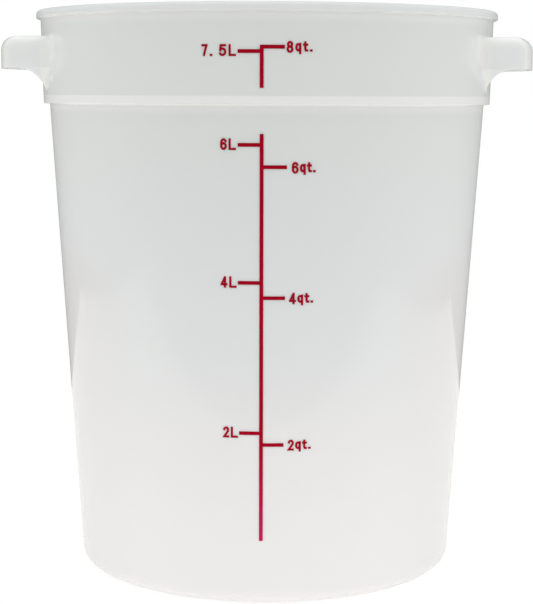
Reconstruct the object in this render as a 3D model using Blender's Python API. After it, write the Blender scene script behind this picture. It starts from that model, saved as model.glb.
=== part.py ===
"""A round food storage tub with two hollow side handles and a volume scale printed on its wall.

The tub is one moulding, turned about the Z axis and standing on z = 0, with its front at -Y and
a handle on each side along X. The scale is red ink on the front: two upright lines with their
ticks, and beside them the figures and letters, each one an island of ink of its own.
"""
import math

import bmesh
import bpy
from mathutils import Vector
from mathutils.geometry import delaunay_2d_cdt

# Driving sizes of the body, in metres
BODY_HEIGHT = 0.2277
BODY_TOP_RADIUS = 0.1067
BODY_TAPER = 0.0146
WALL = 0.0022
FLOOR_THICKNESS = 0.0026
BASE_CORNER_RADIUS = 0.0070
INNER_CORNER_RADIUS = 0.0060
FOOT_RING_WIDTH = 0.0060
BASE_RECESS = 0.0015
RECESS_SLOPE = 0.0020

# Driving sizes of the collar, its ledge and its lip
LEDGE_STEP = 0.0029
LEDGE_THICKNESS = 0.0037
COLLAR_FLARE = 0.0011
COLLAR_BELOW_GUSSETS = 0.0055
LIP_OVERHANG = 0.00205
LIP_THICKNESS = 0.0038
LIP_ROUND = 0.0018
RIM_INNER_ROUND = 0.0008

# Driving sizes of the handles
HANDLE_DROP = 0.0126
HANDLE_HEIGHT = 0.0144
HANDLE_REACH = 0.0170
HANDLE_WIDTH = 0.0900
HANDLE_WALL = 0.0022
HANDLE_CORNER_RADIUS = 0.0040
HANDLE_END_ROUND = 0.0062
HANDLE_SIDE_ROUND = 0.0046
GUSSET_RADIUS = 0.0118
GUSSET_INSET = 0.0001

# Driving sizes of the printed scale
INK_GAP = 0.0003
INK_THICKNESS = 0.0003
SPINE_WIDTH = 0.00170
TICK_THICKNESS = 0.00165
DIGIT_HEIGHT = 0.0049
STROKE_WIDTH = 0.00078
LINE_PIECE = 0.0030

# Overrun of cuts and depth of joints inside the plastic, and the distance that merges points
OVERRUN = 0.0020
MERGE_DISTANCE = 0.00001

# Counts of facets
TURN_STEPS = 96
CORNER_STEPS = 5
ROUND_STEPS = 4
HANDLE_ARC_STEPS = 12
OVAL_STEPS = 16

# Sizes worked out from the driving ones
BODY_BASE_RADIUS = BODY_TOP_RADIUS - BODY_TAPER
COLLAR_HEIGHT = HANDLE_DROP + HANDLE_HEIGHT + GUSSET_RADIUS + COLLAR_BELOW_GUSSETS
TUB_HEIGHT = BODY_HEIGHT + COLLAR_HEIGHT
COLLAR_BASE_RADIUS = BODY_TOP_RADIUS + LEDGE_STEP
COLLAR_TOP_RADIUS = COLLAR_BASE_RADIUS + COLLAR_FLARE
LIP_RADIUS = COLLAR_TOP_RADIUS + LIP_OVERHANG
LIP_UNDERSIDE = TUB_HEIGHT - LIP_THICKNESS
FLOOR_TOP = BASE_RECESS + FLOOR_THICKNESS
HANDLE_TOP = TUB_HEIGHT - HANDLE_DROP
HANDLE_BOTTOM = HANDLE_TOP - HANDLE_HEIGHT
HANDLE_END_RADIUS = LIP_RADIUS + HANDLE_REACH
GUSSET_BOTTOM = HANDLE_BOTTOM - GUSSET_RADIUS

# Ends of the two printed lines, as shares of the height of the wall that carries them
UPPER_LINE_FOOT_SHARE = 0.170
LOWER_LINE_FOOT_SHARE = 0.1365
LOWER_LINE_TOP_SHARE = 0.9463

# The labels: node name, wall, side of the line, figures and letters, then the tick's height as a
# share of the wall's, and shares of the figures' height: tick length, start of the text, how far
# the text stands below its tick, and the gap between two characters
LABEL_SHARES = (
    ("7_5_litre", "collar", -1, "7. 5L", 0.5226, 2.12, 2.27, -0.08, 0.23),
    ("8_quart", "collar", 1, "8qt.", 0.5652, 2.03, 2.19, 0.01, 0.19),
    ("6_litre", "body", -1, "6L", 0.9253, 2.14, 2.30, -0.05, 0.19),
    ("6_quart", "body", 1, "6qt.", 0.8830, 2.26, 2.71, 0.05, 0.14),
    ("4_litre", "body", -1, "4L", 0.6586, 2.13, 2.26, -0.05, 0.20),
    ("4_quart", "body", 1, "4qt.", 0.6288, 2.14, 2.52, 0.04, 0.15),
    ("2_litre", "body", -1, "2L", 0.3581, 2.02, 2.14, -0.06, 0.19),
    ("2_quart", "body", 1, "2qt.", 0.3345, 2.06, 2.47, 0.03, 0.15),
)
QUART_LETTER_LIFT_SHARE = 0.12

# A printed corner is drawn out to no more than half the stroke's width over this share
MITRE_SHARE = 0.5


def line_share(*points):
    """An open stroke through its points."""
    return list(points)


def oval_share(centre_x, centre_y, radius_x, radius_y, start=0, end=360):
    """A stroke along an oval, from one angle in degrees to another, counted from +x."""
    steps = max(2, round(OVAL_STEPS * abs(end - start) / 360))
    angles = [math.radians(start + (end - start) * i / steps) for i in range(steps + 1)]
    return [(centre_x + radius_x * math.cos(a), centre_y + radius_y * math.sin(a)) for a in angles]


# Each character: its width as a share of the figures' height, and its strokes' centre lines as
# shares of its width and of the figures' height
GLYPH_SHARES = {
    "7": (0.52, [line_share((0, 1), (1, 1), (0.72, 0.6), (0.38, 0))]),
    "5": (0.63, [line_share((0.95, 1), (0.14, 1), (0.06, 0.48)),
                 oval_share(0.46, 0.33, 0.54, 0.33, 120, -145)]),
    "L": (0.63, [line_share((0, 1), (0, 0), (1, 0))]),
    "8": (0.57, [oval_share(0.5, 0.77, 0.43, 0.23), oval_share(0.5, 0.27, 0.5, 0.27)]),
    "6": (0.57, [oval_share(0.5, 0.3, 0.5, 0.3),
                 oval_share(0.5, 0.7, 0.5, 0.3, 25, 180) + line_share((0, 0.42))]),
    "4": (0.60, [line_share((0.70, 0), (0.70, 1)), line_share((0, 0.25), (1, 0.25)),
                 line_share((0.62, 0.95), (0.07, 0.32))]),
    "2": (0.53, [oval_share(0.5, 0.73, 0.5, 0.27, 165, -30) + line_share((0, 0), (1, 0))]),
    "q": (0.50, [oval_share(0.5, 0.32, 0.5, 0.32), line_share((1, 0.66), (1, -0.27))]),
    "t": (0.42, [line_share((0.4, 0.82), (0.4, 0.15), (0.6, 0), (1, 0)),
                 line_share((0, 0.60), (1, 0.60))]),
    ".": (0.21, [line_share((0, 0), (1, 0))]),
    " ": (0.16, []),
}
GLYPH_NAMES = {"L": "letter_l", "q": "letter_q", "t": "letter_t", ".": "point"}


def clear_scene():
    for old in list(bpy.data.objects):
        bpy.data.objects.remove(old, do_unlink=True)


def plain_material(name, colour, roughness):
    material = bpy.data.materials.new(name)
    material.use_nodes = True
    shader = material.node_tree.nodes["Principled BSDF"]
    shader.inputs["Base Color"].default_value = (*colour, 1)
    shader.inputs["Roughness"].default_value = roughness
    shader.inputs["Metallic"].default_value = 0
    return material


def frosted_plastic():
    return plain_material("frosted_polypropylene", (0.76, 0.80, 0.80), 0.4)


def red_ink():
    return plain_material("red_ink", (0.40, 0.004, 0.022), 0.5)


def add_object(name, bm, material=None):
    """Turn a bmesh into an object with its faces out, round parts smooth and corners sharp."""
    bmesh.ops.recalc_face_normals(bm, faces=bm.faces[:])
    if bm.calc_volume(signed=True) < 0:
        bmesh.ops.reverse_faces(bm, faces=bm.faces[:])
    mesh = bpy.data.meshes.new(name)
    bm.to_mesh(mesh)
    bm.free()
    mesh.shade_smooth()
    mesh.set_sharp_from_angle(angle=math.radians(30))
    if material:
        mesh.materials.append(material)
    added = bpy.data.objects.new(name, mesh)
    bpy.context.scene.collection.objects.link(added)
    return added


def make_helper(helper):
    """Mark an object that only shapes another one."""
    helper.hide_render = True
    helper.display_type = "WIRE"
    return helper


def combine(target, helper, operation):
    modifier = target.modifiers.new(f"{operation.lower()}_{helper.name}", "BOOLEAN")
    modifier.operation = operation
    modifier.solver = "EXACT"
    modifier.object = helper


def arc(centre, radius, start, end, steps):
    """Points on a circle from one angle to another, in radians, both ends included."""
    angles = [start + (end - start) * i / steps for i in range(steps + 1)]
    return [(centre[0] + radius * math.cos(a), centre[1] + radius * math.sin(a)) for a in angles]


def body_radius(z):
    """Outer radius of the tapered body at a height."""
    return BODY_BASE_RADIUS + BODY_TAPER * z / BODY_HEIGHT


def collar_radius(z):
    """Outer radius of the slightly flared collar at a height."""
    return COLLAR_BASE_RADIUS + COLLAR_FLARE * (z - BODY_HEIGHT) / (LIP_UNDERSIDE - BODY_HEIGHT)


def corner_points(radius, height, offset, start, end):
    """A round corner between a level floor at a height and the body's wall, set in by an offset."""
    lean = math.atan(BODY_TAPER / BODY_HEIGHT)
    centre_z = height + radius
    centre_r = body_radius(centre_z) - offset - radius / math.cos(lean)
    limits = {"floor": -math.pi / 2, "wall": -lean}
    return arc((centre_r, centre_z), radius, limits[start], limits[end], CORNER_STEPS)


def lip_points():
    """The rounded nose of the lip, from its underside to the flat top."""
    nose = min(LIP_ROUND, LIP_THICKNESS / 2, LIP_OVERHANG)
    nose_r = LIP_RADIUS - nose
    lower = arc((nose_r, LIP_UNDERSIDE + nose), nose, -math.pi / 2, 0, ROUND_STEPS)
    upper = arc((nose_r, TUB_HEIGHT - nose), nose, 0, math.pi / 2, ROUND_STEPS)
    return lower + upper


def tub_profile():
    """The tub's section as (radius, height), from the middle of its underside round to its floor."""
    outer_corner = corner_points(BASE_CORNER_RADIUS, 0, 0, "floor", "wall")
    foot_inner = outer_corner[0][0] - FOOT_RING_WIDTH
    inner_corner = corner_points(INNER_CORNER_RADIUS, FLOOR_TOP, WALL, "wall", "floor")
    step_top = BODY_HEIGHT + LEDGE_THICKNESS
    mouth_radius = COLLAR_TOP_RADIUS - WALL
    rim_edge = (mouth_radius + RIM_INNER_ROUND, TUB_HEIGHT - RIM_INNER_ROUND)
    points = [(0, BASE_RECESS), (foot_inner - RECESS_SLOPE, BASE_RECESS), (foot_inner, 0)]
    points += outer_corner
    points += [(BODY_TOP_RADIUS, BODY_HEIGHT), (COLLAR_BASE_RADIUS, BODY_HEIGHT)]
    points += [(COLLAR_TOP_RADIUS, LIP_UNDERSIDE)]
    points += lip_points()
    points += arc(rim_edge, RIM_INNER_ROUND, math.pi / 2, math.pi, ROUND_STEPS)
    points += [(collar_radius(step_top) - WALL, step_top), (BODY_TOP_RADIUS - WALL, step_top)]
    points += [(BODY_TOP_RADIUS - WALL, BODY_HEIGHT)]
    points += inner_corner
    points += [(0, FLOOR_TOP)]
    return points


def turned_shell():
    """The tub without its handles, as one closed section turned about the axis."""
    bm = bmesh.new()
    verts = [bm.verts.new((r, 0, z)) for r, z in tub_profile()]
    edges = [bm.edges.new(pair) for pair in zip(verts, verts[1:])]
    bmesh.ops.spin(bm, geom=verts + edges, cent=(0, 0, 0), axis=(0, 0, 1), dvec=(0, 0, 0),
                   angle=2 * math.pi, steps=TURN_STEPS, use_merge=True, use_duplicate=False)
    bmesh.ops.remove_doubles(bm, verts=bm.verts[:], dist=MERGE_DISTANCE)
    return bm


def handle_root_radius():
    """The radius where the handles end inside the collar's wall, midway through the plastic."""
    return (collar_radius(GUSSET_BOTTOM) + collar_radius(HANDLE_TOP) - WALL) / 2


def rounding_inset(z, top, radius):
    """How far an upright face has drawn in at a height, under a rounded upper edge."""
    above = max(0, z - (top - radius))
    return radius - math.sqrt(max(0, radius ** 2 - above ** 2))


def rounding_heights(bottom, top, radius):
    """Heights of the rings of a block with a rounded upper edge."""
    turns = [math.pi / 2 * i / ROUND_STEPS for i in range(ROUND_STEPS + 1)]
    return [bottom] + [top - radius + radius * math.sin(turn) for turn in turns]


def end_points(end_radius, half_width, corner_radius):
    """One rounded corner at a handle's end, in plan, from its side to its curved end face."""
    reach = end_radius - corner_radius
    angle = math.asin((half_width - corner_radius) / reach)
    centre = (reach * math.cos(angle), half_width - corner_radius)
    return arc(centre, corner_radius, math.pi / 2, angle, ROUND_STEPS), angle


def handle_outline(end_radius, half_width, corner_radius):
    """Plan of the solid handle: root inside the collar, straight sides, end round the tub's axis."""
    root = handle_root_radius()
    root_angle = math.asin(half_width / root)
    corner, end_angle = end_points(end_radius, half_width, corner_radius)
    end_face = arc((0, 0), end_radius, end_angle, -end_angle, HANDLE_ARC_STEPS)
    other_corner = [(x, -y) for x, y in reversed(corner)]
    root_face = arc((0, 0), root, -root_angle, root_angle, HANDLE_ARC_STEPS)
    return corner + end_face[1:-1] + other_corner + root_face


def hollow_outline(end_radius, half_width, corner_radius):
    """Plan of the hollow under the handle, open past the root."""
    inner_x = math.sqrt(handle_root_radius() ** 2 - (HANDLE_WIDTH / 2) ** 2) - OVERRUN
    corner, end_angle = end_points(end_radius, half_width, corner_radius)
    end_face = arc((0, 0), end_radius, end_angle, -end_angle, HANDLE_ARC_STEPS)
    other_corner = [(x, -y) for x, y in reversed(corner)]
    return [(inner_x, half_width)] + corner + end_face[1:-1] + other_corner + [(inner_x, -half_width)]


def add_loft(bm, rings):
    """A closed body through rings with the same number of points each."""
    rows = [[bm.verts.new(point) for point in ring] for ring in rings]
    count = len(rows[0])
    for lower, upper in zip(rows, rows[1:]):
        for i in range(count):
            j = (i + 1) % count
            bm.faces.new((lower[i], lower[j], upper[j], upper[i]))
    bm.faces.new(rows[0])
    bm.faces.new(rows[-1])


def placed(outline, z, side, mirror=1):
    """Plan points at a height, turned half round the tub's axis for the other side."""
    return [(side * x, side * mirror * y, z) for x, y in outline]


def handle_block(side):
    """The handle as a solid block with rounded upper edges."""
    bm = bmesh.new()
    rings = []
    for z in rounding_heights(HANDLE_BOTTOM, HANDLE_TOP, HANDLE_END_ROUND):
        end_radius = HANDLE_END_RADIUS - rounding_inset(z, HANDLE_TOP, HANDLE_END_ROUND)
        half_width = HANDLE_WIDTH / 2 - rounding_inset(z, HANDLE_TOP, HANDLE_SIDE_ROUND)
        rings.append(placed(handle_outline(end_radius, half_width, HANDLE_CORNER_RADIUS), z, side))
    add_loft(bm, rings)
    return bm


def handle_hollow(side):
    """The hollow under the handle, open at the bottom."""
    bm = bmesh.new()
    top = HANDLE_TOP - HANDLE_WALL
    end_round = HANDLE_END_ROUND - HANDLE_WALL
    side_round = HANDLE_SIDE_ROUND - HANDLE_WALL
    rings = []
    for z in rounding_heights(HANDLE_BOTTOM - OVERRUN, top, end_round):
        end_radius = HANDLE_END_RADIUS - HANDLE_WALL - rounding_inset(z, top, end_round)
        half_width = HANDLE_WIDTH / 2 - HANDLE_WALL - rounding_inset(z, top, side_round)
        corner_radius = HANDLE_CORNER_RADIUS - HANDLE_WALL
        rings.append(placed(hollow_outline(end_radius, half_width, corner_radius), z, side))
    add_loft(bm, rings)
    return bm


def handle_gussets(side):
    """The concave webs under a handle's two end walls, from its mouth down to the collar."""
    bm = bmesh.new()
    web_y = (HANDLE_WIDTH - HANDLE_WALL) / 2
    inner_x = math.sqrt(handle_root_radius() ** 2 - web_y ** 2)
    root_x = math.sqrt(collar_radius(GUSSET_BOTTOM) ** 2 - web_y ** 2)
    web_centre = (root_x + GUSSET_RADIUS, GUSSET_BOTTOM)
    web = arc(web_centre, GUSSET_RADIUS, math.pi, math.pi / 2, CORNER_STEPS)
    joint_z = HANDLE_BOTTOM + OVERRUN
    section = [(inner_x, GUSSET_BOTTOM)] + web + [(web[-1][0], joint_z), (inner_x, joint_z)]
    half_thickness = HANDLE_WALL / 2 - GUSSET_INSET
    for y in (-web_y, web_y):
        sides = (y - half_thickness, y + half_thickness)
        add_loft(bm, [[(side * x, face_y, z) for x, z in section] for face_y in sides])
    return bm


def build_handle(side, name):
    """One hollow handle as a helper that the tub takes in."""
    handle = make_helper(add_object(name, handle_block(side)))
    combine(handle, make_helper(add_object(f"{name}_hollow", handle_hollow(side))), "DIFFERENCE")
    combine(handle, make_helper(add_object(f"{name}_gussets", handle_gussets(side))), "UNION")
    return handle


def build_tub(material):
    """The moulding: body, ledge, collar, lip and both handles in one."""
    tub = add_object("tub", turned_shell(), material)
    combine(tub, build_handle(1, "right_handle"), "UNION")
    combine(tub, build_handle(-1, "left_handle"), "UNION")


def across(direction):
    """The unit vector a quarter turn to the left of a direction."""
    return Vector((-direction.y, direction.x))


def ribbon(points, width):
    """Four-sided pieces along a stroke of constant width with square ends and mitred corners."""
    points = [Vector(point) for point in points]
    half = width / 2
    steps = [(b - a).normalized() for a, b in zip(points, points[1:])]
    if (points[0] - points[-1]).length < MERGE_DISTANCE:
        before, after = steps[-1:] + steps, steps + steps[:1]
    else:
        points[0] -= steps[0] * half
        points[-1] += steps[-1] * half
        before, after = steps[:1] + steps, steps + steps[-1:]
    sides = []
    for point, step_in, step_out in zip(points, before, after):
        mitre = across(step_in + step_out).normalized()
        offset = mitre * half / max(MITRE_SHARE, mitre.dot(across(step_in)))
        sides.append((point + offset, point - offset))
    return [(a[1], b[1], b[0], a[0]) for a, b in zip(sides, sides[1:])]


def bar(left, right, low, high):
    """A printed bar, cut along its length into pieces short enough to follow the round wall."""
    count = max(1, round((right - left) / LINE_PIECE))
    cuts = [left + (right - left) * i / count for i in range(count + 1)]
    return [[Vector((a, low)), Vector((b, low)), Vector((b, high)), Vector((a, high))]
            for a, b in zip(cuts, cuts[1:])]


def wrap(u, v, radius_at, lift):
    """A point of the print, lifted off the wall: u runs round the wall from the front, v is height."""
    radius = radius_at(v)
    angle = u / radius
    return ((radius + lift) * math.sin(angle), -(radius + lift) * math.cos(angle), v)


def print_on_wall(name, pieces, radius_at, material):
    """One island of ink: flat pieces united, thickened and wrapped round the wall."""
    points = []
    outlines = []
    for piece in pieces:
        outlines.append(range(len(points), len(points) + len(piece)))
        points += piece
    points, _, faces, _, _, sources = delaunay_2d_cdt(points, [], outlines, 0, MERGE_DISTANCE, True)
    bm = bmesh.new()
    verts = [bm.verts.new((point.x, point.y, 0)) for point in points]
    for face, source in zip(faces, sources):
        if source:
            bm.faces.new([verts[i] for i in face])
    unused = [vert for vert in verts if not vert.link_faces]
    bmesh.ops.delete(bm, geom=unused, context="VERTS")
    raised = bmesh.ops.extrude_face_region(bm, geom=bm.faces[:])["geom"]
    raised = {item for item in raised if isinstance(item, bmesh.types.BMVert)}
    for vert in bm.verts:
        lift = INK_GAP + (INK_THICKNESS if vert in raised else 0)
        vert.co = wrap(vert.co.x, vert.co.y, radius_at, lift)
    add_object(name, bm, material)


def wall_of(place):
    """The foot, height and radius of the wall that carries a label."""
    if place == "collar":
        return BODY_HEIGHT, COLLAR_HEIGHT, collar_radius
    return 0, BODY_HEIGHT, body_radius


def tick_height(label):
    """The height of a label's tick."""
    foot, height, _ = wall_of(label[1])
    return foot + height * label[4]


def build_line(name, place, low, high, material):
    """One upright line with its ticks."""
    pieces = bar(-SPINE_WIDTH / 2, SPINE_WIDTH / 2, low, high)
    for label in LABEL_SHARES:
        if label[1] == place:
            z = tick_height(label)
            tip = label[2] * label[5] * DIGIT_HEIGHT
            pieces += bar(min(0, tip), max(0, tip), z - TICK_THICKNESS / 2, z + TICK_THICKNESS / 2)
    print_on_wall(name, pieces, wall_of(place)[2], material)


def glyph_pieces(glyph, left, base):
    """The strokes of one character whose box starts at (left, base)."""
    width_share, strokes = GLYPH_SHARES[glyph]
    run = width_share * DIGIT_HEIGHT - STROKE_WIDTH
    rise = DIGIT_HEIGHT - STROKE_WIDTH
    inset = STROKE_WIDTH / 2
    pieces = []
    for stroke in strokes:
        centre_line = [(left + inset + x * run, base + inset + y * rise) for x, y in stroke]
        pieces += ribbon(centre_line, STROKE_WIDTH)
    return pieces


def build_label(label, material):
    """The figures and letters beside one tick, each its own piece."""
    name, place, side, text, _, _, start_share, drop_share, gap_share = label
    advances = [(GLYPH_SHARES[glyph][0] + gap_share) * DIGIT_HEIGHT for glyph in text]
    left = start_share * DIGIT_HEIGHT
    if side < 0:
        left = -left - sum(advances) + gap_share * DIGIT_HEIGHT
    base = tick_height(label) - DIGIT_HEIGHT * (drop_share + 1 / 2)
    for glyph, advance in zip(text, advances):
        lift_share = QUART_LETTER_LIFT_SHARE if side > 0 and not glyph.isdigit() else 0
        pieces = glyph_pieces(glyph, left, base + lift_share * DIGIT_HEIGHT)
        left += advance
        if pieces:
            glyph_name = GLYPH_NAMES.get(glyph, f"digit_{glyph}")
            print_on_wall(f"print_{name}_{glyph_name}", pieces, wall_of(place)[2], material)


def build_scale(material):
    """The whole printed scale."""
    top_tick = max(tick_height(label) for label in LABEL_SHARES)
    upper_foot = BODY_HEIGHT + COLLAR_HEIGHT * UPPER_LINE_FOOT_SHARE
    build_line("scale_line_upper", "collar", upper_foot, top_tick + TICK_THICKNESS / 2, material)
    build_line("scale_line_lower", "body", BODY_HEIGHT * LOWER_LINE_FOOT_SHARE,
               BODY_HEIGHT * LOWER_LINE_TOP_SHARE, material)
    for label in LABEL_SHARES:
        build_label(label, material)


clear_scene()
build_tub(frosted_plastic())
build_scale(red_ink())
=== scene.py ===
"""A round food storage tub of frosted plastic with two hollow handles and a printed volume scale.

Everything is in metres. The tub is turned about the Z axis and stands on z = 0, with its front at
-Y and a handle at each end of X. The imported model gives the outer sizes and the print; this script
gives the fine shapes, the finishes, the light and the camera.
"""

import math

import bmesh
import bpy
from mathutils import Matrix, Vector


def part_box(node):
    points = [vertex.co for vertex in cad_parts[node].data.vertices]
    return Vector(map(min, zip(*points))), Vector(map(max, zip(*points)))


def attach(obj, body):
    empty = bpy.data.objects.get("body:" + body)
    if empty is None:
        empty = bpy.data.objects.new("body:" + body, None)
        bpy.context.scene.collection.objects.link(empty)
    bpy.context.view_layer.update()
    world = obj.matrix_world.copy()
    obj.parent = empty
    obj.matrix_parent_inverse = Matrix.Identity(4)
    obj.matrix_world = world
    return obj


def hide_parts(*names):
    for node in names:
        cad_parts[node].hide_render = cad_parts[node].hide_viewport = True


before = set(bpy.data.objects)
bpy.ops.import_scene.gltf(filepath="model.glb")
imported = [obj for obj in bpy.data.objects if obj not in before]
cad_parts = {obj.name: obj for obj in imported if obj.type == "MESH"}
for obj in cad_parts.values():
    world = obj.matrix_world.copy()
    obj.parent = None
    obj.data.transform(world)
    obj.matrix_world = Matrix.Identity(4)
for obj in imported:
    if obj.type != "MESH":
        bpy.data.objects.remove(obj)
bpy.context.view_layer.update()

# Outer sizes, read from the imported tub, with the lip kept just inside its box
BOX_MARGIN = 0.000001
TUB_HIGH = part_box("tub")[1]
TUB_HEIGHT = TUB_HIGH.z
LIP_RADIUS = TUB_HIGH.y - BOX_MARGIN
HANDLE_END_RADIUS = TUB_HIGH.x

# The body, from the foot to the ledge
BODY_HEIGHT = 0.2277
BODY_TOP_RADIUS = 0.1067
BODY_BASE_RADIUS = 0.0921
WALL = 0.0022
FLOOR_THICKNESS = 0.0026
BASE_CORNER = 0.0070
FLOOR_CORNER = 0.0060
FOOT_RING_RADIUS = 0.0795
BASE_RECESS = 0.0015
RECESS_SLOPE = 0.0020

# The collar, from the ledge to the lip
COLLAR_BASE_RADIUS = 0.1096
COLLAR_TOP_RADIUS = 0.1107
LEDGE_THICKNESS = 0.0044
LEDGE_EDGE = 0.0008
LIP_UNDERSIDE = TUB_HEIGHT - 0.0038
LIP_TOP_EDGE = 0.0018
LIP_UNDER_EDGE = 0.0006
RIM_INNER_EDGE = 0.0008
SOFT_CORNER = 0.0006

# The handles
HANDLE_TOP = TUB_HEIGHT - 0.0126
HANDLE_BOTTOM = HANDLE_TOP - 0.0150
HANDLE_WIDTH = 0.0900
HANDLE_WALL = 0.0022
HANDLE_TOP_WALL = 0.0030
HANDLE_CORNER = 0.0040
HANDLE_END_ROUND = 0.0062
HANDLE_SIDE_ROUND = 0.0046
ROOT_FILLET = 0.0052
GUSSET_RADIUS = 0.0118
GUSSET_TIP_Y = 0.0350
GUSSET_INSET = 0.0001
ROOT_RADIUS = COLLAR_TOP_RADIUS - 0.0015
ROOT_SINK = 0.00005
OVERRUN = 0.0020

# The print: how far its film stands off the wall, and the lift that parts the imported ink's two faces
FILM_OUTER = 0.00004
FILM_INNER = -0.00004
PRINT_MIDDLE_LIFT = 0.00045

# The ink's run past the outline of a figure or letter, and how its side faces are told apart
INK_SPREAD = 0.00011
SIDE_FACE_LIMIT = 0.5
SAME_DIRECTION = 0.999
MITRE_LIMIT = 0.35

# How finely round shapes are made, how near points are merged and at what angle an edge is sharp
TURN_STEPS = 240
ROW_HEIGHT = 0.0060
ARC_STEPS = 8
HANDLE_STEPS = 20
MERGE_DISTANCE = 0.000001
SHARP_ANGLE = math.radians(35)

# Where the zones of the plastic fade in, each pair from nothing to all of it: as heights, as radii
# from the axis, or aside, which is the distance from the plane x = 0
LEDGE_HEIGHTS_BELOW = (BODY_HEIGHT - 0.0045, BODY_HEIGHT + 0.0010)
LEDGE_HEIGHTS_ABOVE = (BODY_HEIGHT + LEDGE_THICKNESS, BODY_HEIGHT + 0.0038)
LEDGE_FOOT_RADII = (BODY_TOP_RADIUS + 0.0004, BODY_TOP_RADIUS + 0.0012)
LEDGE_FOOT_HEIGHTS = (BODY_HEIGHT + 0.0012, BODY_HEIGHT + 0.0002)
BODY_HEIGHTS = (BODY_HEIGHT - 0.0050, BODY_HEIGHT - 0.0450)
LOWER_BODY_HEIGHTS = (0.1250, 0.0650)
SIDE_SHADE_HEIGHTS = (0.1750, 0.1300)
SIDE_SHADE_ASIDE = (0.0500, 0.0920)
LIP_RADII = (COLLAR_TOP_RADIUS + 0.0002, COLLAR_TOP_RADIUS + 0.0007)
RIM_HEIGHTS = (LIP_UNDERSIDE, LIP_UNDERSIDE + 0.0010)
RIM_TOP_HEIGHTS = (TUB_HEIGHT - 0.0017, TUB_HEIGHT - 0.0002)
UNDER_RIM_HEIGHTS = (LIP_UNDERSIDE - 0.0055, LIP_UNDERSIDE)
ABOVE_HANDLES = HANDLE_TOP + 0.0010
HANDLE_RADII = (COLLAR_TOP_RADIUS + 0.0001, COLLAR_TOP_RADIUS + 0.0010)
HANDLE_EDGE_HEIGHTS = (HANDLE_TOP - 0.0050, HANDLE_TOP - 0.0040)
HANDLE_UPPER_HEIGHTS = (HANDLE_BOTTOM + 0.0020, HANDLE_TOP - 0.0040)
HANDLE_END_ASIDE = (HANDLE_END_RADIUS - 0.0100, HANDLE_END_RADIUS - 0.0074)

# The zone of the handles' roots, which is painted lighter, and whose inner bound leans outwards below
# a height
ROOT_LEAN_HEIGHT = HANDLE_BOTTOM + 0.0050
ROOT_LEAN = 0.40
ROOT_INNER_ASIDE = (0.0972, 0.1000)
ROOT_OUTER_ASIDE = (0.1066, 0.1046)
ROOT_HEIGHTS_BELOW = (HANDLE_BOTTOM - 0.0120, HANDLE_BOTTOM - 0.0100)
ROOT_HEIGHTS_ABOVE = (HANDLE_TOP + 0.0012, HANDLE_TOP + 0.0002)

# Colours of the plastic's zones, each laid over those before it, from the collar's on. Those of the
# walls are pairs, for the two ends of their faint clouds. Most zones after the body's paint light
# and shade into the colour, as noted at each
COLLAR_COLOURS = ((0.825, 0.840, 0.838), (0.840, 0.850, 0.848))
CLOUDED_COLOURS = {
    "body": ((0.823, 0.840, 0.851), (0.838, 0.850, 0.861)),
    # Painted light: lighter and warmer towards the base, standing for the glowing table's light
    "lower_body_painted_light": ((0.846, 0.841, 0.853), (0.858, 0.850, 0.862)),
}
PLAIN_COLOURS = {
    "side_shade": (0.815, 0.807, 0.818),
    # Painted light: a whiter band round the ledge, standing for light that scatters through its thick
    # plastic
    "ledge": (0.965, 0.975, 0.960),
    # Painted shade: the ledge's underside keeps less of the ledge's painted light
    "ledge_foot_painted_shade": (0.880, 0.885, 0.875),
    # Painted light: a lighter band under the lip, painted over the lip's shadow
    "under_rim_painted_light": (0.930, 0.940, 0.935),
    # Painted light: the lip a little lighter than the collar, standing for light in its thick plastic;
    # it is also cooler
    "rim": (0.845, 0.860, 0.870),
    # Painted shade: the top of the lip darker, taking back light from above
    "rim_top_painted_shade": (0.750, 0.765, 0.785),
    # Painted light: the handles whiter than the collar, standing for light that passes through them;
    # they are also cooler
    "handle": (0.920, 0.955, 0.985),
    # Painted light: the handles' faces lighter towards the top, standing for light that comes down
    # through the top plate
    "handle_upper_painted_light": (0.945, 0.985, 1.000),
    # Painted light: a near-white strip along the handles' rounded top edges
    "handle_edge": (0.985, 0.995, 1.000),
    # Painted light: the handles' roots near white, standing for light through the thick joint and
    # lifting the shade of the concave corner
    "root": (0.995, 1.000, 0.985),
    "handle_end": (0.945, 0.950, 0.950),
}

# How far light travels inside thin and thick plastic, and how much less of it scatters in a zone
THIN_SCATTER = 0.0022
THICK_SCATTER = 0.0055
CLEARNESS = {"handle": 0.45, "handle_edge": 0.35, "ledge": 0.20}
ROOT_CLEARNESS = 0.70

# The plastic's gloss, which is weak on the handles' ends
PLASTIC_IOR = 1.5
PLAIN_GLOSS = 0.50
HANDLE_END_GLOSS = 0.03

# The ink: two ends of its uneven cover, and the lighter, pinker colour that it fades to at the scale's
# foot, a painted glare
INK_COLOURS = ((0.36, 0.0003, 0.012), (0.42, 0.0006, 0.018))
INK_GLARE_COLOUR = (0.60, 0.012, 0.115)
INK_GLARE_HEIGHTS = (0.075, 0.025)
INK_GLOSS = 0.04

# The white table under the tub, and the dim room round it
TABLE_LOW = (-0.750, -0.345)
TABLE_HIGH = (0.700, 0.435)
TABLE_GAP = 0.0003
TABLE_PAINT = (0.90, 0.88, 0.86, 1)
TABLE_GLOW_COLOUR = (1, 0.985, 0.96, 1)
TABLE_GLOW = 0.36
TABLE_REFLECTED_WHITE = 0.88
TABLE_WHITE_SHARE = 0.80
ROOM_STEPS = 64
ROOM_RADIUS = 3.0
ROOM_FLOOR = -0.75
ROOM_MIDDLE = 0.70
ROOM_TOP = 8.00
ROOM_LOWER_LEVEL = 0.40
ROOM_UPPER_LEVEL = 0.55

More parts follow.
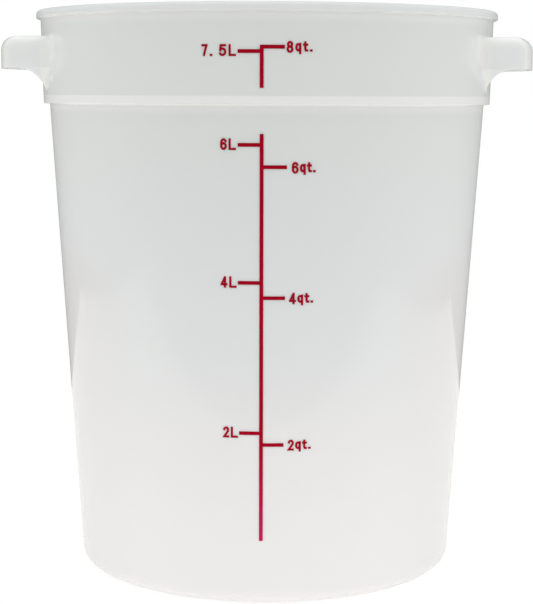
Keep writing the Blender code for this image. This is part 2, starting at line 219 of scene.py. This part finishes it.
# The light: its colour from all round, and the place, target, width and power of the soft boxes
ROOM_LIGHT = (0.985, 0.995, 0.97, 1)
TOP_BOX = ((0, 0, 1.5), (0, 0, 0), 0.8, 1.5)
SIDE_BOX = ((1.6, -0.3, 0.8), (0, 0, 0.15), 1.5, 0.7)

# The photograph's camera: focal length and frame height in pixels, the sensor's width in
# millimetres, then its place and its angles
FOCAL_PIXELS = 1641.4
FRAME_HEIGHT_PIXELS = 604
SENSOR_WIDTH = 36
NEAREST_SEEN = 0.01
CAMERA_PLACE = Vector((0.00026, -0.82034, 0.23325))
CAMERA_PITCH = 0.1269
CAMERA_ROLL = 0.0040
CAMERA_TURN = math.radians(1.15)


# Sections and outlines

def arc(centre, radius, start, end, steps=ARC_STEPS):
    """Points of an arc, with both ends, for angles in radians."""
    angles = [start + (end - start) * i / steps for i in range(steps + 1)]
    return [(centre[0] + radius * math.cos(a), centre[1] + radius * math.sin(a)) for a in angles]


def rounded(corners):
    """A line through (x, y, radius) corners, with an arc where a corner has a radius."""
    line = [corners[0][:2]]
    for before, corner, after in zip(corners, corners[1:], corners[2:]):
        point = Vector(corner[:2])
        way_in = (point - Vector(before[:2])).normalized()
        way_out = (Vector(after[:2]) - point).normalized()
        turn = way_in.angle_signed(way_out)
        if not corner[2]:
            line.append(tuple(point))
            continue
        cut = corner[2] * math.tan(abs(turn) / 2)
        start, end = point - way_in * cut, point + way_out * cut
        middle = start + way_in.orthogonal() * corner[2] * (-1 if turn > 0 else 1)
        first = math.atan2(*(start - middle).yx)
        line += arc(middle, corner[2], first, first - turn)
    return line + [corners[-1][:2]]


def with_rows(line):
    """The line with its long stretches parted, so that the turned wall has faces of even size."""
    parted = []
    for a, b in zip(line, line[1:]):
        count = max(1, round(math.dist(a, b) / ROW_HEIGHT))
        parted += [tuple(Vector(a).lerp(Vector(b), i / count)) for i in range(count)]
    return parted + [line[-1]]


def body_radius(z):
    return BODY_BASE_RADIUS + (BODY_TOP_RADIUS - BODY_BASE_RADIUS) * z / BODY_HEIGHT


def collar_radius(z):
    rise = (z - BODY_HEIGHT) / (LIP_UNDERSIDE - BODY_HEIGHT)
    return COLLAR_BASE_RADIUS + (COLLAR_TOP_RADIUS - COLLAR_BASE_RADIUS) * rise


def wall_radius(z):
    """Outer radius of the tub's wall at a height."""
    return collar_radius(z) if z > BODY_HEIGHT else body_radius(z)


def tub_section():
    """The section of the tub as (radius, height), from under its middle round to its floor."""
    floor_top = BASE_RECESS + FLOOR_THICKNESS
    step_top = BODY_HEIGHT + LEDGE_THICKNESS
    return with_rows(rounded([
        (0, BASE_RECESS, 0),
        (FOOT_RING_RADIUS - RECESS_SLOPE, BASE_RECESS, SOFT_CORNER),
        (FOOT_RING_RADIUS, 0, SOFT_CORNER),
        (BODY_BASE_RADIUS, 0, BASE_CORNER),
        (BODY_TOP_RADIUS, BODY_HEIGHT, SOFT_CORNER),
        (COLLAR_BASE_RADIUS, BODY_HEIGHT, LEDGE_EDGE),
        (COLLAR_TOP_RADIUS, LIP_UNDERSIDE, SOFT_CORNER),
        (LIP_RADIUS, LIP_UNDERSIDE, LIP_UNDER_EDGE),
        (LIP_RADIUS, TUB_HEIGHT, LIP_TOP_EDGE),
        (COLLAR_TOP_RADIUS - WALL, TUB_HEIGHT, RIM_INNER_EDGE),
        (collar_radius(step_top) - WALL, step_top, SOFT_CORNER),
        (BODY_TOP_RADIUS - WALL, step_top, LEDGE_EDGE),
        (body_radius(floor_top) - WALL, floor_top, FLOOR_CORNER),
        (0, floor_top, 0),
    ]))


# Making and finishing pieces

def make_object(name, bm, material=None):
    """An object of its own from a bmesh, with its faces pointing out."""
    bmesh.ops.remove_doubles(bm, verts=bm.verts[:], dist=MERGE_DISTANCE)
    bmesh.ops.recalc_face_normals(bm, faces=bm.faces[:])
    if bm.calc_volume(signed=True) < 0:
        bmesh.ops.reverse_faces(bm, faces=bm.faces[:])
    mesh = bpy.data.meshes.new(name)
    bm.to_mesh(mesh)
    bm.free()
    mesh.shade_smooth()
    mesh.set_sharp_from_angle(angle=SHARP_ANGLE)
    if material:
        mesh.materials.append(material)
    made = bpy.data.objects.new(name, mesh)
    bpy.context.scene.collection.objects.link(made)
    return made


def finish_piece(piece, slot, *nodes):
    """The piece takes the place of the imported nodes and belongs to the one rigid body."""
    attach(piece, "root")
    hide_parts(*nodes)


def combine(target, tool, operation):
    """Join or cut the target by the tool, for good, and drop the tool."""
    modifier = target.modifiers.new(operation, "BOOLEAN")
    modifier.operation = operation
    modifier.solver = "EXACT"
    modifier.object = tool
    shaped = target.evaluated_get(bpy.context.evaluated_depsgraph_get())
    old, target.data = target.data, bpy.data.meshes.new_from_object(shaped)
    target.modifiers.clear()
    bpy.data.meshes.remove(old)
    bpy.data.objects.remove(tool)


def loft(rings):
    """A closed body through rings of points, with a face on each end."""
    bm = bmesh.new()
    loops = []
    for ring in rings:
        verts = [bm.verts.new(point) for point in ring]
        loops.append([bm.edges.new(pair) for pair in zip(verts, verts[1:] + verts[:1])])
    for lower, upper in zip(loops, loops[1:]):
        bmesh.ops.bridge_loops(bm, edges=lower + upper)
    for end in (loops[0], loops[-1]):
        bmesh.ops.edgeloop_fill(bm, edges=end)
    return bm


# The tub

def turned_tub():
    """The tub without its handles: its section turned about the axis."""
    bm = bmesh.new()
    verts = [bm.verts.new((r, 0, z)) for r, z in tub_section()]
    edges = [bm.edges.new(pair) for pair in zip(verts, verts[1:])]
    bmesh.ops.spin(bm, geom=verts + edges, cent=(0, 0, 0), axis=(0, 0, 1), dvec=(0, 0, 0),
                   angle=2 * math.pi, steps=TURN_STEPS, use_merge=True, use_duplicate=False)
    return bm


def rounding(height, top, radius):
    """How far an upright face has drawn in at a height, under a rounded top edge."""
    above = max(0, height - top + radius)
    return radius - math.sqrt(max(0, radius ** 2 - above ** 2))


def rounding_levels(top, radius):
    """Heights of the rings that follow a rounded top edge."""
    turns = [math.pi / 2 * i / ARC_STEPS for i in range(ARC_STEPS + 1)]
    return [top - radius + radius * math.sin(turn) for turn in turns]


def root_curve(z, half_width, fillet):
    """The concave curve in plan from inside the collar's wall to a handle's straight side."""
    radius = collar_radius(z) - ROOT_SINK
    wall_x = math.sqrt(radius ** 2 - half_width ** 2)
    lean = math.asin(half_width / radius)
    far = 2 * fillet
    on_collar = (wall_x - far * math.sin(lean), half_width + far * math.cos(lean), 0)
    curve = rounded([on_collar, (wall_x, half_width, fillet), (wall_x + far, half_width, 0)])[1:-1]
    return [tuple(Vector(curve[0]).normalized() * ROOT_RADIUS)] + curve


def handle_plan(z, end_radius, half_width):
    """Half round a handle seen from above: from the collar along one side and round the end."""
    reach = end_radius - HANDLE_CORNER
    turn = math.asin((half_width - HANDLE_CORNER) / reach)
    centre = (reach * math.cos(turn), half_width - HANDLE_CORNER)
    round_corner = arc(centre, HANDLE_CORNER, math.pi / 2, turn)
    end = arc((0, 0), end_radius, turn, 0, HANDLE_STEPS)
    return root_curve(z, half_width, ROOT_FILLET) + round_corner + end[1:]


def handle_ring(z, plan):
    """A ring at a height from the half plan, its mirror image and the arc inside the wall."""
    root_turn = math.atan2(plan[0][1], plan[0][0])
    inside = arc((0, 0), ROOT_RADIUS, -root_turn, root_turn, HANDLE_STEPS)
    whole = plan + [(x, -y) for x, y in reversed(plan[:-1])] + inside[1:-1]
    return [(x, y, z) for x, y in whole]


def handle_block():
    """The outside of the handle at +X, with its fillets where it grows out of the collar."""
    rings = []
    for z in [HANDLE_BOTTOM] + rounding_levels(HANDLE_TOP, HANDLE_END_ROUND):
        end_radius = HANDLE_END_RADIUS - rounding(z, HANDLE_TOP, HANDLE_END_ROUND)
        half_width = HANDLE_WIDTH / 2 - rounding(z, HANDLE_TOP, HANDLE_SIDE_ROUND)
        rings.append(handle_ring(z, handle_plan(z, end_radius, half_width)))
    return loft(rings)


def hollow_block():
    """The hollow under the handle at +X."""
    top = HANDLE_TOP - HANDLE_TOP_WALL
    end_round = HANDLE_END_ROUND - HANDLE_TOP_WALL
    side_round = HANDLE_SIDE_ROUND - HANDLE_TOP_WALL
    corner = HANDLE_CORNER - HANDLE_WALL
    inner_x = math.sqrt(ROOT_RADIUS ** 2 - (HANDLE_WIDTH / 2) ** 2) - OVERRUN
    rings = []
    for z in [HANDLE_BOTTOM - OVERRUN] + rounding_levels(top, end_round):
        end_radius = HANDLE_END_RADIUS - HANDLE_WALL - rounding(z, top, end_round)
        half_width = HANDLE_WIDTH / 2 - HANDLE_WALL - rounding(z, top, side_round)
        reach = end_radius - corner
        turn = math.asin((half_width - corner) / reach)
        round_corner = arc((reach * math.cos(turn), half_width - corner), corner, math.pi / 2, turn)
        end = arc((0, 0), end_radius, turn, 0, HANDLE_STEPS)
        half = [(inner_x, half_width)] + round_corner + end[1:]
        whole = half + [(x, -y) for x, y in reversed(half[:-1])]
        rings.append([(x, y, z) for x, y in whole])
    return loft(rings)


def gusset_block():
    """The concave web at +X and +Y, which leans in from the handle's end wall to its tip below.

    A fillet joins it to the collar, and its section follows a quarter of a circle from the tip.
    """
    top_y = HANDLE_WIDTH / 2 - GUSSET_INSET
    bottom = HANDLE_BOTTOM - GUSSET_RADIUS
    thickness = HANDLE_WALL - 2 * GUSSET_INSET
    steps = 2 * ARC_STEPS
    levels = []
    for i in range(1, steps + 1):
        turn = math.pi / 2 * i / steps
        levels.append((bottom + GUSSET_RADIUS * math.sin(turn), GUSSET_RADIUS * (1 - math.cos(turn))))
    levels.append((HANDLE_BOTTOM + OVERRUN, GUSSET_RADIUS))
    rings = []
    for z, reach in levels:
        rise = min(1, (z - bottom) / GUSSET_RADIUS)
        outer_y = GUSSET_TIP_Y + (top_y - GUSSET_TIP_Y) * rise
        inner_y = outer_y - thickness
        end_x = math.sqrt(collar_radius(z) ** 2 - GUSSET_TIP_Y ** 2) + reach
        room = end_x - math.sqrt(collar_radius(z) ** 2 - outer_y ** 2)
        outside = root_curve(z, outer_y, min(ROOT_FILLET - GUSSET_INSET, room))
        inner_x = math.sqrt(ROOT_RADIUS ** 2 - inner_y ** 2)
        whole = outside + [(end_x, outer_y), (end_x, inner_y), (inner_x, inner_y)]
        rings.append([(x, y, z) for x, y in whole])
    return loft(rings)


def make_handle(side):
    """A hollow handle with its two webs, on the side of the tub that is given."""
    handle = make_object("handle", handle_block())
    combine(handle, make_object("hollow", hollow_block()), "DIFFERENCE")
    combine(handle, make_object("gusset", gusset_block()), "UNION")
    other_gusset = make_object("gusset", gusset_block())
    other_gusset.data.transform(Matrix.Scale(-1, 4, (0, 1, 0)))
    other_gusset.data.flip_normals()
    combine(handle, other_gusset, "UNION")
    if side < 0:
        handle.data.transform(Matrix.Rotation(math.pi, 4, "Z"))
    return handle


def make_tub(material):
    """The whole moulding."""
    tub = make_object("frosted_tub", turned_tub(), material)
    for side in (1, -1):
        combine(tub, make_handle(side), "UNION")
    mesh = tub.data
    mesh.materials.clear()
    mesh.materials.append(material)
    mesh.polygons.foreach_set("material_index", [0] * len(mesh.polygons))
    mesh.shade_smooth()
    mesh.set_sharp_from_angle(angle=SHARP_ANGLE)
    finish_piece(tub, "frosted_plastic", "tub")


# The print

def spread_ink(bm):
    """The strokes of a figure or letter widened, as the ink has run a little past its outline."""
    bmesh.ops.recalc_face_normals(bm, faces=bm.faces[:])
    shifts = []
    for vert in bm.verts:
        outward = Vector((vert.co.x, vert.co.y, 0)).normalized()
        sides = []
        for face in vert.link_faces:
            is_side = abs(face.normal.dot(outward)) < SIDE_FACE_LIMIT
            if is_side and all(face.normal.dot(side) < SAME_DIRECTION for side in sides):
                sides.append(face.normal.copy())
        shift = sum(sides, Vector((0, 0, 0)))
        if len(sides) == 2:
            shift /= max(MITRE_LIMIT, 1 + sides[0].dot(sides[1]))
        shifts.append(shift * INK_SPREAD)
    for vert, shift in zip(bm.verts, shifts):
        vert.co += shift


def press_print(node, material):
    """The film of one printed line, figure or letter, pressed on to the wall."""
    bm = bmesh.new()
    bm.from_mesh(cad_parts[node].data)
    bmesh.ops.remove_doubles(bm, verts=bm.verts[:], dist=MERGE_DISTANCE)
    if node.startswith("print_"):
        spread_ink(bm)
    for vert in bm.verts:
        wall = wall_radius(vert.co.z)
        across = math.hypot(vert.co.x, vert.co.y)
        film = FILM_OUTER if across - wall > PRINT_MIDDLE_LIFT else FILM_INNER
        vert.co.xy *= (wall + film) / across
    piece = make_object("film_" + node.removeprefix("print_"), bm, material)
    finish_piece(piece, "red_ink", node)


# Finishes

def new_material(name):
    """A material with an empty node tree and its output."""
    material = bpy.data.materials.new(name)
    material.use_nodes = True
    tree = material.node_tree
    tree.nodes.clear()
    return material, tree, tree.nodes.new("ShaderNodeOutputMaterial")


def noise_of(tree, scale, detail):
    """A noise pattern on the object's own coordinates."""
    place = tree.nodes.new("ShaderNodeTexCoord")
    noise = tree.nodes.new("ShaderNodeTexNoise")
    noise.inputs["Scale"].default_value = scale
    noise.inputs["Detail"].default_value = detail
    tree.links.new(place.outputs["Object"], noise.inputs["Vector"])
    return noise.outputs["Fac"]


def own_place(tree):
    """The object's own coordinates, as sockets named X, Y and Z."""
    place = tree.nodes.new("ShaderNodeTexCoord")
    parts = tree.nodes.new("ShaderNodeSeparateXYZ")
    tree.links.new(place.outputs["Object"], parts.inputs[0])
    return parts.outputs


def ranged(tree, source, low, high, start=0, end=1):
    """A value between a start and an end brought between two limits."""
    limits = tree.nodes.new("ShaderNodeMapRange")
    for name, value in (("From Min", start), ("From Max", end), ("To Min", low), ("To Max", high)):
        limits.inputs[name].default_value = value
    tree.links.new(source, limits.inputs["Value"])
    return limits.outputs["Result"]


def blended(tree, share, first, second):
    """A colour between two, by a pattern's value."""
    mix = tree.nodes.new("ShaderNodeMix")
    mix.data_type = "RGBA"
    for socket, colour in ((mix.inputs[6], first), (mix.inputs[7], second)):
        if isinstance(colour, bpy.types.NodeSocket):
            tree.links.new(colour, socket)
        else:
            socket.default_value = (*colour, 1)
    tree.links.new(share, mix.inputs[0])
    return mix.outputs[2]


def bumped(tree, height, strength, distance):
    """A surface grain from a pattern."""
    bump = tree.nodes.new("ShaderNodeBump")
    bump.inputs["Strength"].default_value = strength
    bump.inputs["Distance"].default_value = distance
    tree.links.new(height, bump.inputs["Height"])
    return bump.outputs["Normal"]


def math_of(tree, operation, *values):
    """A sum on numbers, each one a socket or a plain value."""
    node = tree.nodes.new("ShaderNodeMath")
    node.operation = operation
    for socket, value in zip(node.inputs, values):
        if isinstance(value, bpy.types.NodeSocket):
            tree.links.new(value, socket)
        else:
            socket.default_value = value
    return node.outputs[0]


def smooth_step(tree, source, start, end):
    """A soft change from zero to one between two values of a source."""
    step = tree.nodes.new("ShaderNodeMapRange")
    step.interpolation_type = "SMOOTHSTEP"
    step.inputs["From Min"].default_value = start
    step.inputs["From Max"].default_value = end
    tree.links.new(source, step.inputs["Value"])
    return step.outputs["Result"]


def plastic_zones(tree):
    """How far a point of the plastic belongs to each of its zones, from zero to one."""
    place = own_place(tree)
    height = place["Z"]
    aside = math_of(tree, "ABSOLUTE", place["X"])
    squares = [math_of(tree, "POWER", place[axis], 2) for axis in ("X", "Y")]
    from_axis = math_of(tree, "SQRT", math_of(tree, "ADD", *squares))

    def step(source, bounds):
        return smooth_step(tree, source, *bounds)

    def both(first, second):
        return math_of(tree, "MULTIPLY", first, second)

    def outside(zone):
        return math_of(tree, "SUBTRACT", 1, zone)

    above_handles = math_of(tree, "GREATER_THAN", height, ABOVE_HANDLES)
    lip = both(above_handles, step(from_axis, LIP_RADII))
    rim = math_of(tree, "MAXIMUM", lip, step(height, RIM_HEIGHTS))
    handle = both(outside(above_handles), step(from_axis, HANDLE_RADII))
    below_lean = math_of(tree, "MAXIMUM", 0, math_of(tree, "SUBTRACT", ROOT_LEAN_HEIGHT, height))
    leaning = math_of(tree, "SUBTRACT", aside, both(below_lean, ROOT_LEAN))
    root_across = both(step(leaning, ROOT_INNER_ASIDE), step(aside, ROOT_OUTER_ASIDE))
    root_upright = both(step(height, ROOT_HEIGHTS_BELOW), step(height, ROOT_HEIGHTS_ABOVE))
    # Most of these zones carry painted light and shade in the plastic's colour, as noted at their
    # colours
    return {
        "body": step(height, BODY_HEIGHTS),
        "lower_body_painted_light": step(height, LOWER_BODY_HEIGHTS),
        "side_shade": both(step(aside, SIDE_SHADE_ASIDE), step(height, SIDE_SHADE_HEIGHTS)),
        "ledge": both(step(height, LEDGE_HEIGHTS_BELOW), step(height, LEDGE_HEIGHTS_ABOVE)),
        "ledge_foot_painted_shade": both(step(from_axis, LEDGE_FOOT_RADII), step(height, LEDGE_FOOT_HEIGHTS)),
        "under_rim_painted_light": both(step(height, UNDER_RIM_HEIGHTS), outside(rim)),
        "rim": rim,
        "rim_top_painted_shade": step(height, RIM_TOP_HEIGHTS),
        "handle": handle,
        "handle_upper_painted_light": both(handle, step(height, HANDLE_UPPER_HEIGHTS)),
        "handle_edge": both(handle, step(height, HANDLE_EDGE_HEIGHTS)),
        "root": both(root_across, root_upright),
        "handle_end": both(handle, step(aside, HANDLE_END_ASIDE)),
    }


def plastic_colour(tree, zones, clouds):
    """The plastic's colour, with that of each zone laid over the ones before it."""
    colour = blended(tree, clouds, *COLLAR_COLOURS)
    for zone, ends in CLOUDED_COLOURS.items():
        colour = blended(tree, zones[zone], colour, blended(tree, clouds, *ends))
    for zone, plain in PLAIN_COLOURS.items():
        colour = blended(tree, zones[zone], colour, plain)
    return colour


def plastic_milkiness(tree, zones):
    """The share of the light that scatters inside the plastic, which is less in its thick zones."""
    share = 1
    for zone, clearness in CLEARNESS.items():
        share = math_of(tree, "SUBTRACT", share, math_of(tree, "MULTIPLY", zones[zone], clearness))
    root_loss = math_of(tree, "MULTIPLY", zones["root"], ROOT_CLEARNESS)
    return math_of(tree, "MULTIPLY", share, math_of(tree, "SUBTRACT", 1, root_loss))


def frosted_polypropylene():
    """Milky plastic: light scatters inside the wall, and part of it comes out on the other side.

    It is painted whiter at the ledge, the handles and their roots, standing for light that scatters
    through the thick plastic there; it is cooler in the handles, and painted a little lighter and
    warmer towards the base, standing for the table's light. Painted shade darkens the lip's top.
    """
    material, tree, out = new_material("frosted_polypropylene")
    clouds = noise_of(tree, scale=14, detail=3)
    ripple = noise_of(tree, scale=45, detail=2)
    zones = plastic_zones(tree)
    thick = math_of(tree, "MAXIMUM", zones["ledge"], zones["handle"])
    thick = math_of(tree, "MAXIMUM", thick, zones["root"])
    surface = tree.nodes.new("ShaderNodeBsdfPrincipled")
    surface.inputs["Subsurface Radius"].default_value = (1, 1, 1)
    surface.inputs["IOR"].default_value = PLASTIC_IOR
    for name, source in (
        ("Base Color", plastic_colour(tree, zones, clouds)),
        ("Subsurface Weight", plastic_milkiness(tree, zones)),
        ("Subsurface Scale", ranged(tree, thick, THIN_SCATTER, THICK_SCATTER)),
        ("Specular IOR Level", ranged(tree, zones["handle_end"], PLAIN_GLOSS, HANDLE_END_GLOSS)),
        ("Roughness", ranged(tree, clouds, low=0.05, high=0.09)),
        ("Normal", bumped(tree, ripple, strength=0.1, distance=0.0004)),
    ):
        tree.links.new(source, surface.inputs[name])
    tree.links.new(surface.outputs[0], out.inputs["Surface"])
    return material


def red_ink():
    """Screen-printed ink, a little uneven in its cover, with painted glare that turns it lighter and
    pinker towards the foot of the scale.
    """
    material, tree, out = new_material("red_ink")
    cover = noise_of(tree, scale=600, detail=3)
    full = blended(tree, cover, *INK_COLOURS)
    # Painted glare: the ink turns lighter and pinker towards the foot of the scale
    glare = ranged(tree, own_place(tree)["Z"], 0, 1, *INK_GLARE_HEIGHTS)
    surface = tree.nodes.new("ShaderNodeBsdfPrincipled")
    surface.inputs["Specular IOR Level"].default_value = INK_GLOSS
    for name, source in (
        ("Base Color", blended(tree, glare, full, INK_GLARE_COLOUR)),
        ("Roughness", ranged(tree, cover, low=0.50, high=0.62)),
        ("Normal", bumped(tree, cover, strength=0.1, distance=0.00005)),
    ):
        tree.links.new(source, surface.inputs[name])
    tree.links.new(surface.outputs[0], out.inputs["Surface"])
    return material


# Floor, light and camera

def seen_as_white(tree):
    """One for rays from the camera, mirrors and glass, and nothing for the rest."""
    path = tree.nodes.new("ShaderNodeLightPath")
    total = path.outputs["Is Camera Ray"]
    for name in ("Is Glossy Ray", "Is Transmission Ray"):
        total = math_of(tree, "MAXIMUM", total, path.outputs[name])
    return total


def make_stage(name, bm, material):
    """A piece of the studio, which isn't part of the tub."""
    mesh = bpy.data.meshes.new(name)
    bm.to_mesh(mesh)
    bm.free()
    mesh.materials.append(material)
    made = bpy.data.objects.new(name, mesh)
    bpy.context.scene.collection.objects.link(made)
    return made


def make_table():
    """The white table, almost lost in the white behind it, that keeps the tub's soft shadow."""
    bm = bmesh.new()
    middle = (Vector(TABLE_LOW) + Vector(TABLE_HIGH)) / 2
    spread = Vector(TABLE_HIGH) - Vector(TABLE_LOW)
    bmesh.ops.create_grid(bm, x_segments=1, y_segments=1, size=0.5,
                          matrix=Matrix.Translation((middle.x, middle.y, -TABLE_GAP))
                          @ Matrix.Diagonal((spread.x, spread.y, 1, 1)))
    material, tree, out = new_material("white_table")
    paint = tree.nodes.new("ShaderNodeBsdfDiffuse")
    paint.inputs["Color"].default_value = TABLE_PAINT
    lit_through = tree.nodes.new("ShaderNodeEmission")
    lit_through.inputs["Color"].default_value = TABLE_GLOW_COLOUR
    lit_through.inputs["Strength"].default_value = TABLE_GLOW
    lit = tree.nodes.new("ShaderNodeAddShader")
    tree.links.new(paint.outputs[0], lit.inputs[0])
    tree.links.new(lit_through.outputs[0], lit.inputs[1])
    white = tree.nodes.new("ShaderNodeEmission")
    path = tree.nodes.new("ShaderNodeLightPath")
    level = ranged(tree, path.outputs["Is Camera Ray"], TABLE_REFLECTED_WHITE, 1)
    tree.links.new(level, white.inputs["Strength"])
    mix = tree.nodes.new("ShaderNodeMixShader")
    tree.links.new(math_of(tree, "MULTIPLY", seen_as_white(tree), TABLE_WHITE_SHARE), mix.inputs[0])
    tree.links.new(lit.outputs[0], mix.inputs[1])
    tree.links.new(white.outputs[0], mix.inputs[2])
    tree.links.new(mix.outputs[0], out.inputs["Surface"])
    make_stage("table", bm, material)


def glowing(name, level):
    """A plain surface of its own even brightness."""
    material, tree, out = new_material(name)
    glow = tree.nodes.new("ShaderNodeEmission")
    glow.inputs["Color"].default_value = (level, level, level, 1)
    tree.links.new(glow.outputs[0], out.inputs["Surface"])
    return material


def make_room_wall(name, low, high, level):
    """A stretch of the round wall of the dim room beyond the table."""
    bm = bmesh.new()
    bmesh.ops.create_cone(bm, cap_ends=False, segments=ROOM_STEPS,
                          radius1=ROOM_RADIUS, radius2=ROOM_RADIUS, depth=high - low,
                          matrix=Matrix.Translation((0, 0, (high + low) / 2)))
    wall = make_stage(name, bm, glowing(name, level))
    wall.visible_camera = False
    return wall


def make_room():
    """The dim room beyond the table. Its upper wall shows only in the gloss of the tub."""
    make_room_wall("room_lower_wall", ROOM_FLOOR, ROOM_MIDDLE, ROOM_LOWER_LEVEL)
    upper_wall = make_room_wall("room_upper_wall", ROOM_MIDDLE, ROOM_TOP, ROOM_UPPER_LEVEL)
    upper_wall.visible_diffuse = False
    bm = bmesh.new()
    bmesh.ops.create_circle(bm, cap_ends=True, segments=ROOM_STEPS, radius=ROOM_RADIUS,
                            matrix=Matrix.Translation((0, 0, ROOM_FLOOR)))
    floor = make_stage("room_floor", bm, glowing("room_floor", ROOM_LOWER_LEVEL))
    floor.visible_camera = False


def light_world():
    """Even studio light from all round, with a white background behind the tub."""
    world = bpy.data.worlds.new("studio")
    bpy.context.scene.world = world
    world.use_nodes = True
    tree = world.node_tree
    tree.nodes.clear()
    out = tree.nodes.new("ShaderNodeOutputWorld")
    room = tree.nodes.new("ShaderNodeBackground")
    room.inputs["Color"].default_value = ROOM_LIGHT
    backdrop = tree.nodes.new("ShaderNodeBackground")
    backdrop.inputs["Color"].default_value = (1, 1, 1, 1)
    mix = tree.nodes.new("ShaderNodeMixShader")
    tree.links.new(seen_as_white(tree), mix.inputs[0])
    tree.links.new(room.outputs[0], mix.inputs[1])
    tree.links.new(backdrop.outputs[0], mix.inputs[2])
    tree.links.new(mix.outputs[0], out.inputs["Surface"])


def add_lamp(name, place, target, width, power):
    """A square soft box that faces a point."""
    lamp = bpy.data.lights.new(name, "AREA")
    lamp.shape = "RECTANGLE"
    lamp.size = width
    lamp.size_y = width
    lamp.energy = power
    added = bpy.data.objects.new(name, lamp)
    added.location = place
    added.rotation_euler = (Vector(target) - Vector(place)).to_track_quat("-Z", "Y").to_euler()
    added.visible_glossy = False
    bpy.context.scene.collection.objects.link(added)


def place_camera():
    """The camera as it stood for the photograph."""
    lens = bpy.data.cameras.new("photo_camera")
    lens.sensor_width = SENSOR_WIDTH
    lens.lens = SENSOR_WIDTH * FOCAL_PIXELS / FRAME_HEIGHT_PIXELS
    lens.clip_start = NEAREST_SEEN
    camera = bpy.data.objects.new("photo_camera", lens)
    bpy.context.scene.collection.objects.link(camera)
    camera.matrix_world = (Matrix.Rotation(CAMERA_TURN, 4, "Z") @ Matrix.Translation(CAMERA_PLACE)
                           @ Matrix.Rotation(math.pi / 2 - CAMERA_PITCH, 4, "X")
                           @ Matrix.Rotation(CAMERA_ROLL, 4, "Z"))
    bpy.context.scene.camera = camera


make_tub(frosted_polypropylene())
ink = red_ink()
for node in sorted(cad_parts):
    if node != "tub":
        press_print(node, ink)
make_table()
make_room()
light_world()
add_lamp("top_box", *TOP_BOX)
add_lamp("side_box", *SIDE_BOX)
place_camera()
bpy.context.scene.view_settings.view_transform = "Standard"
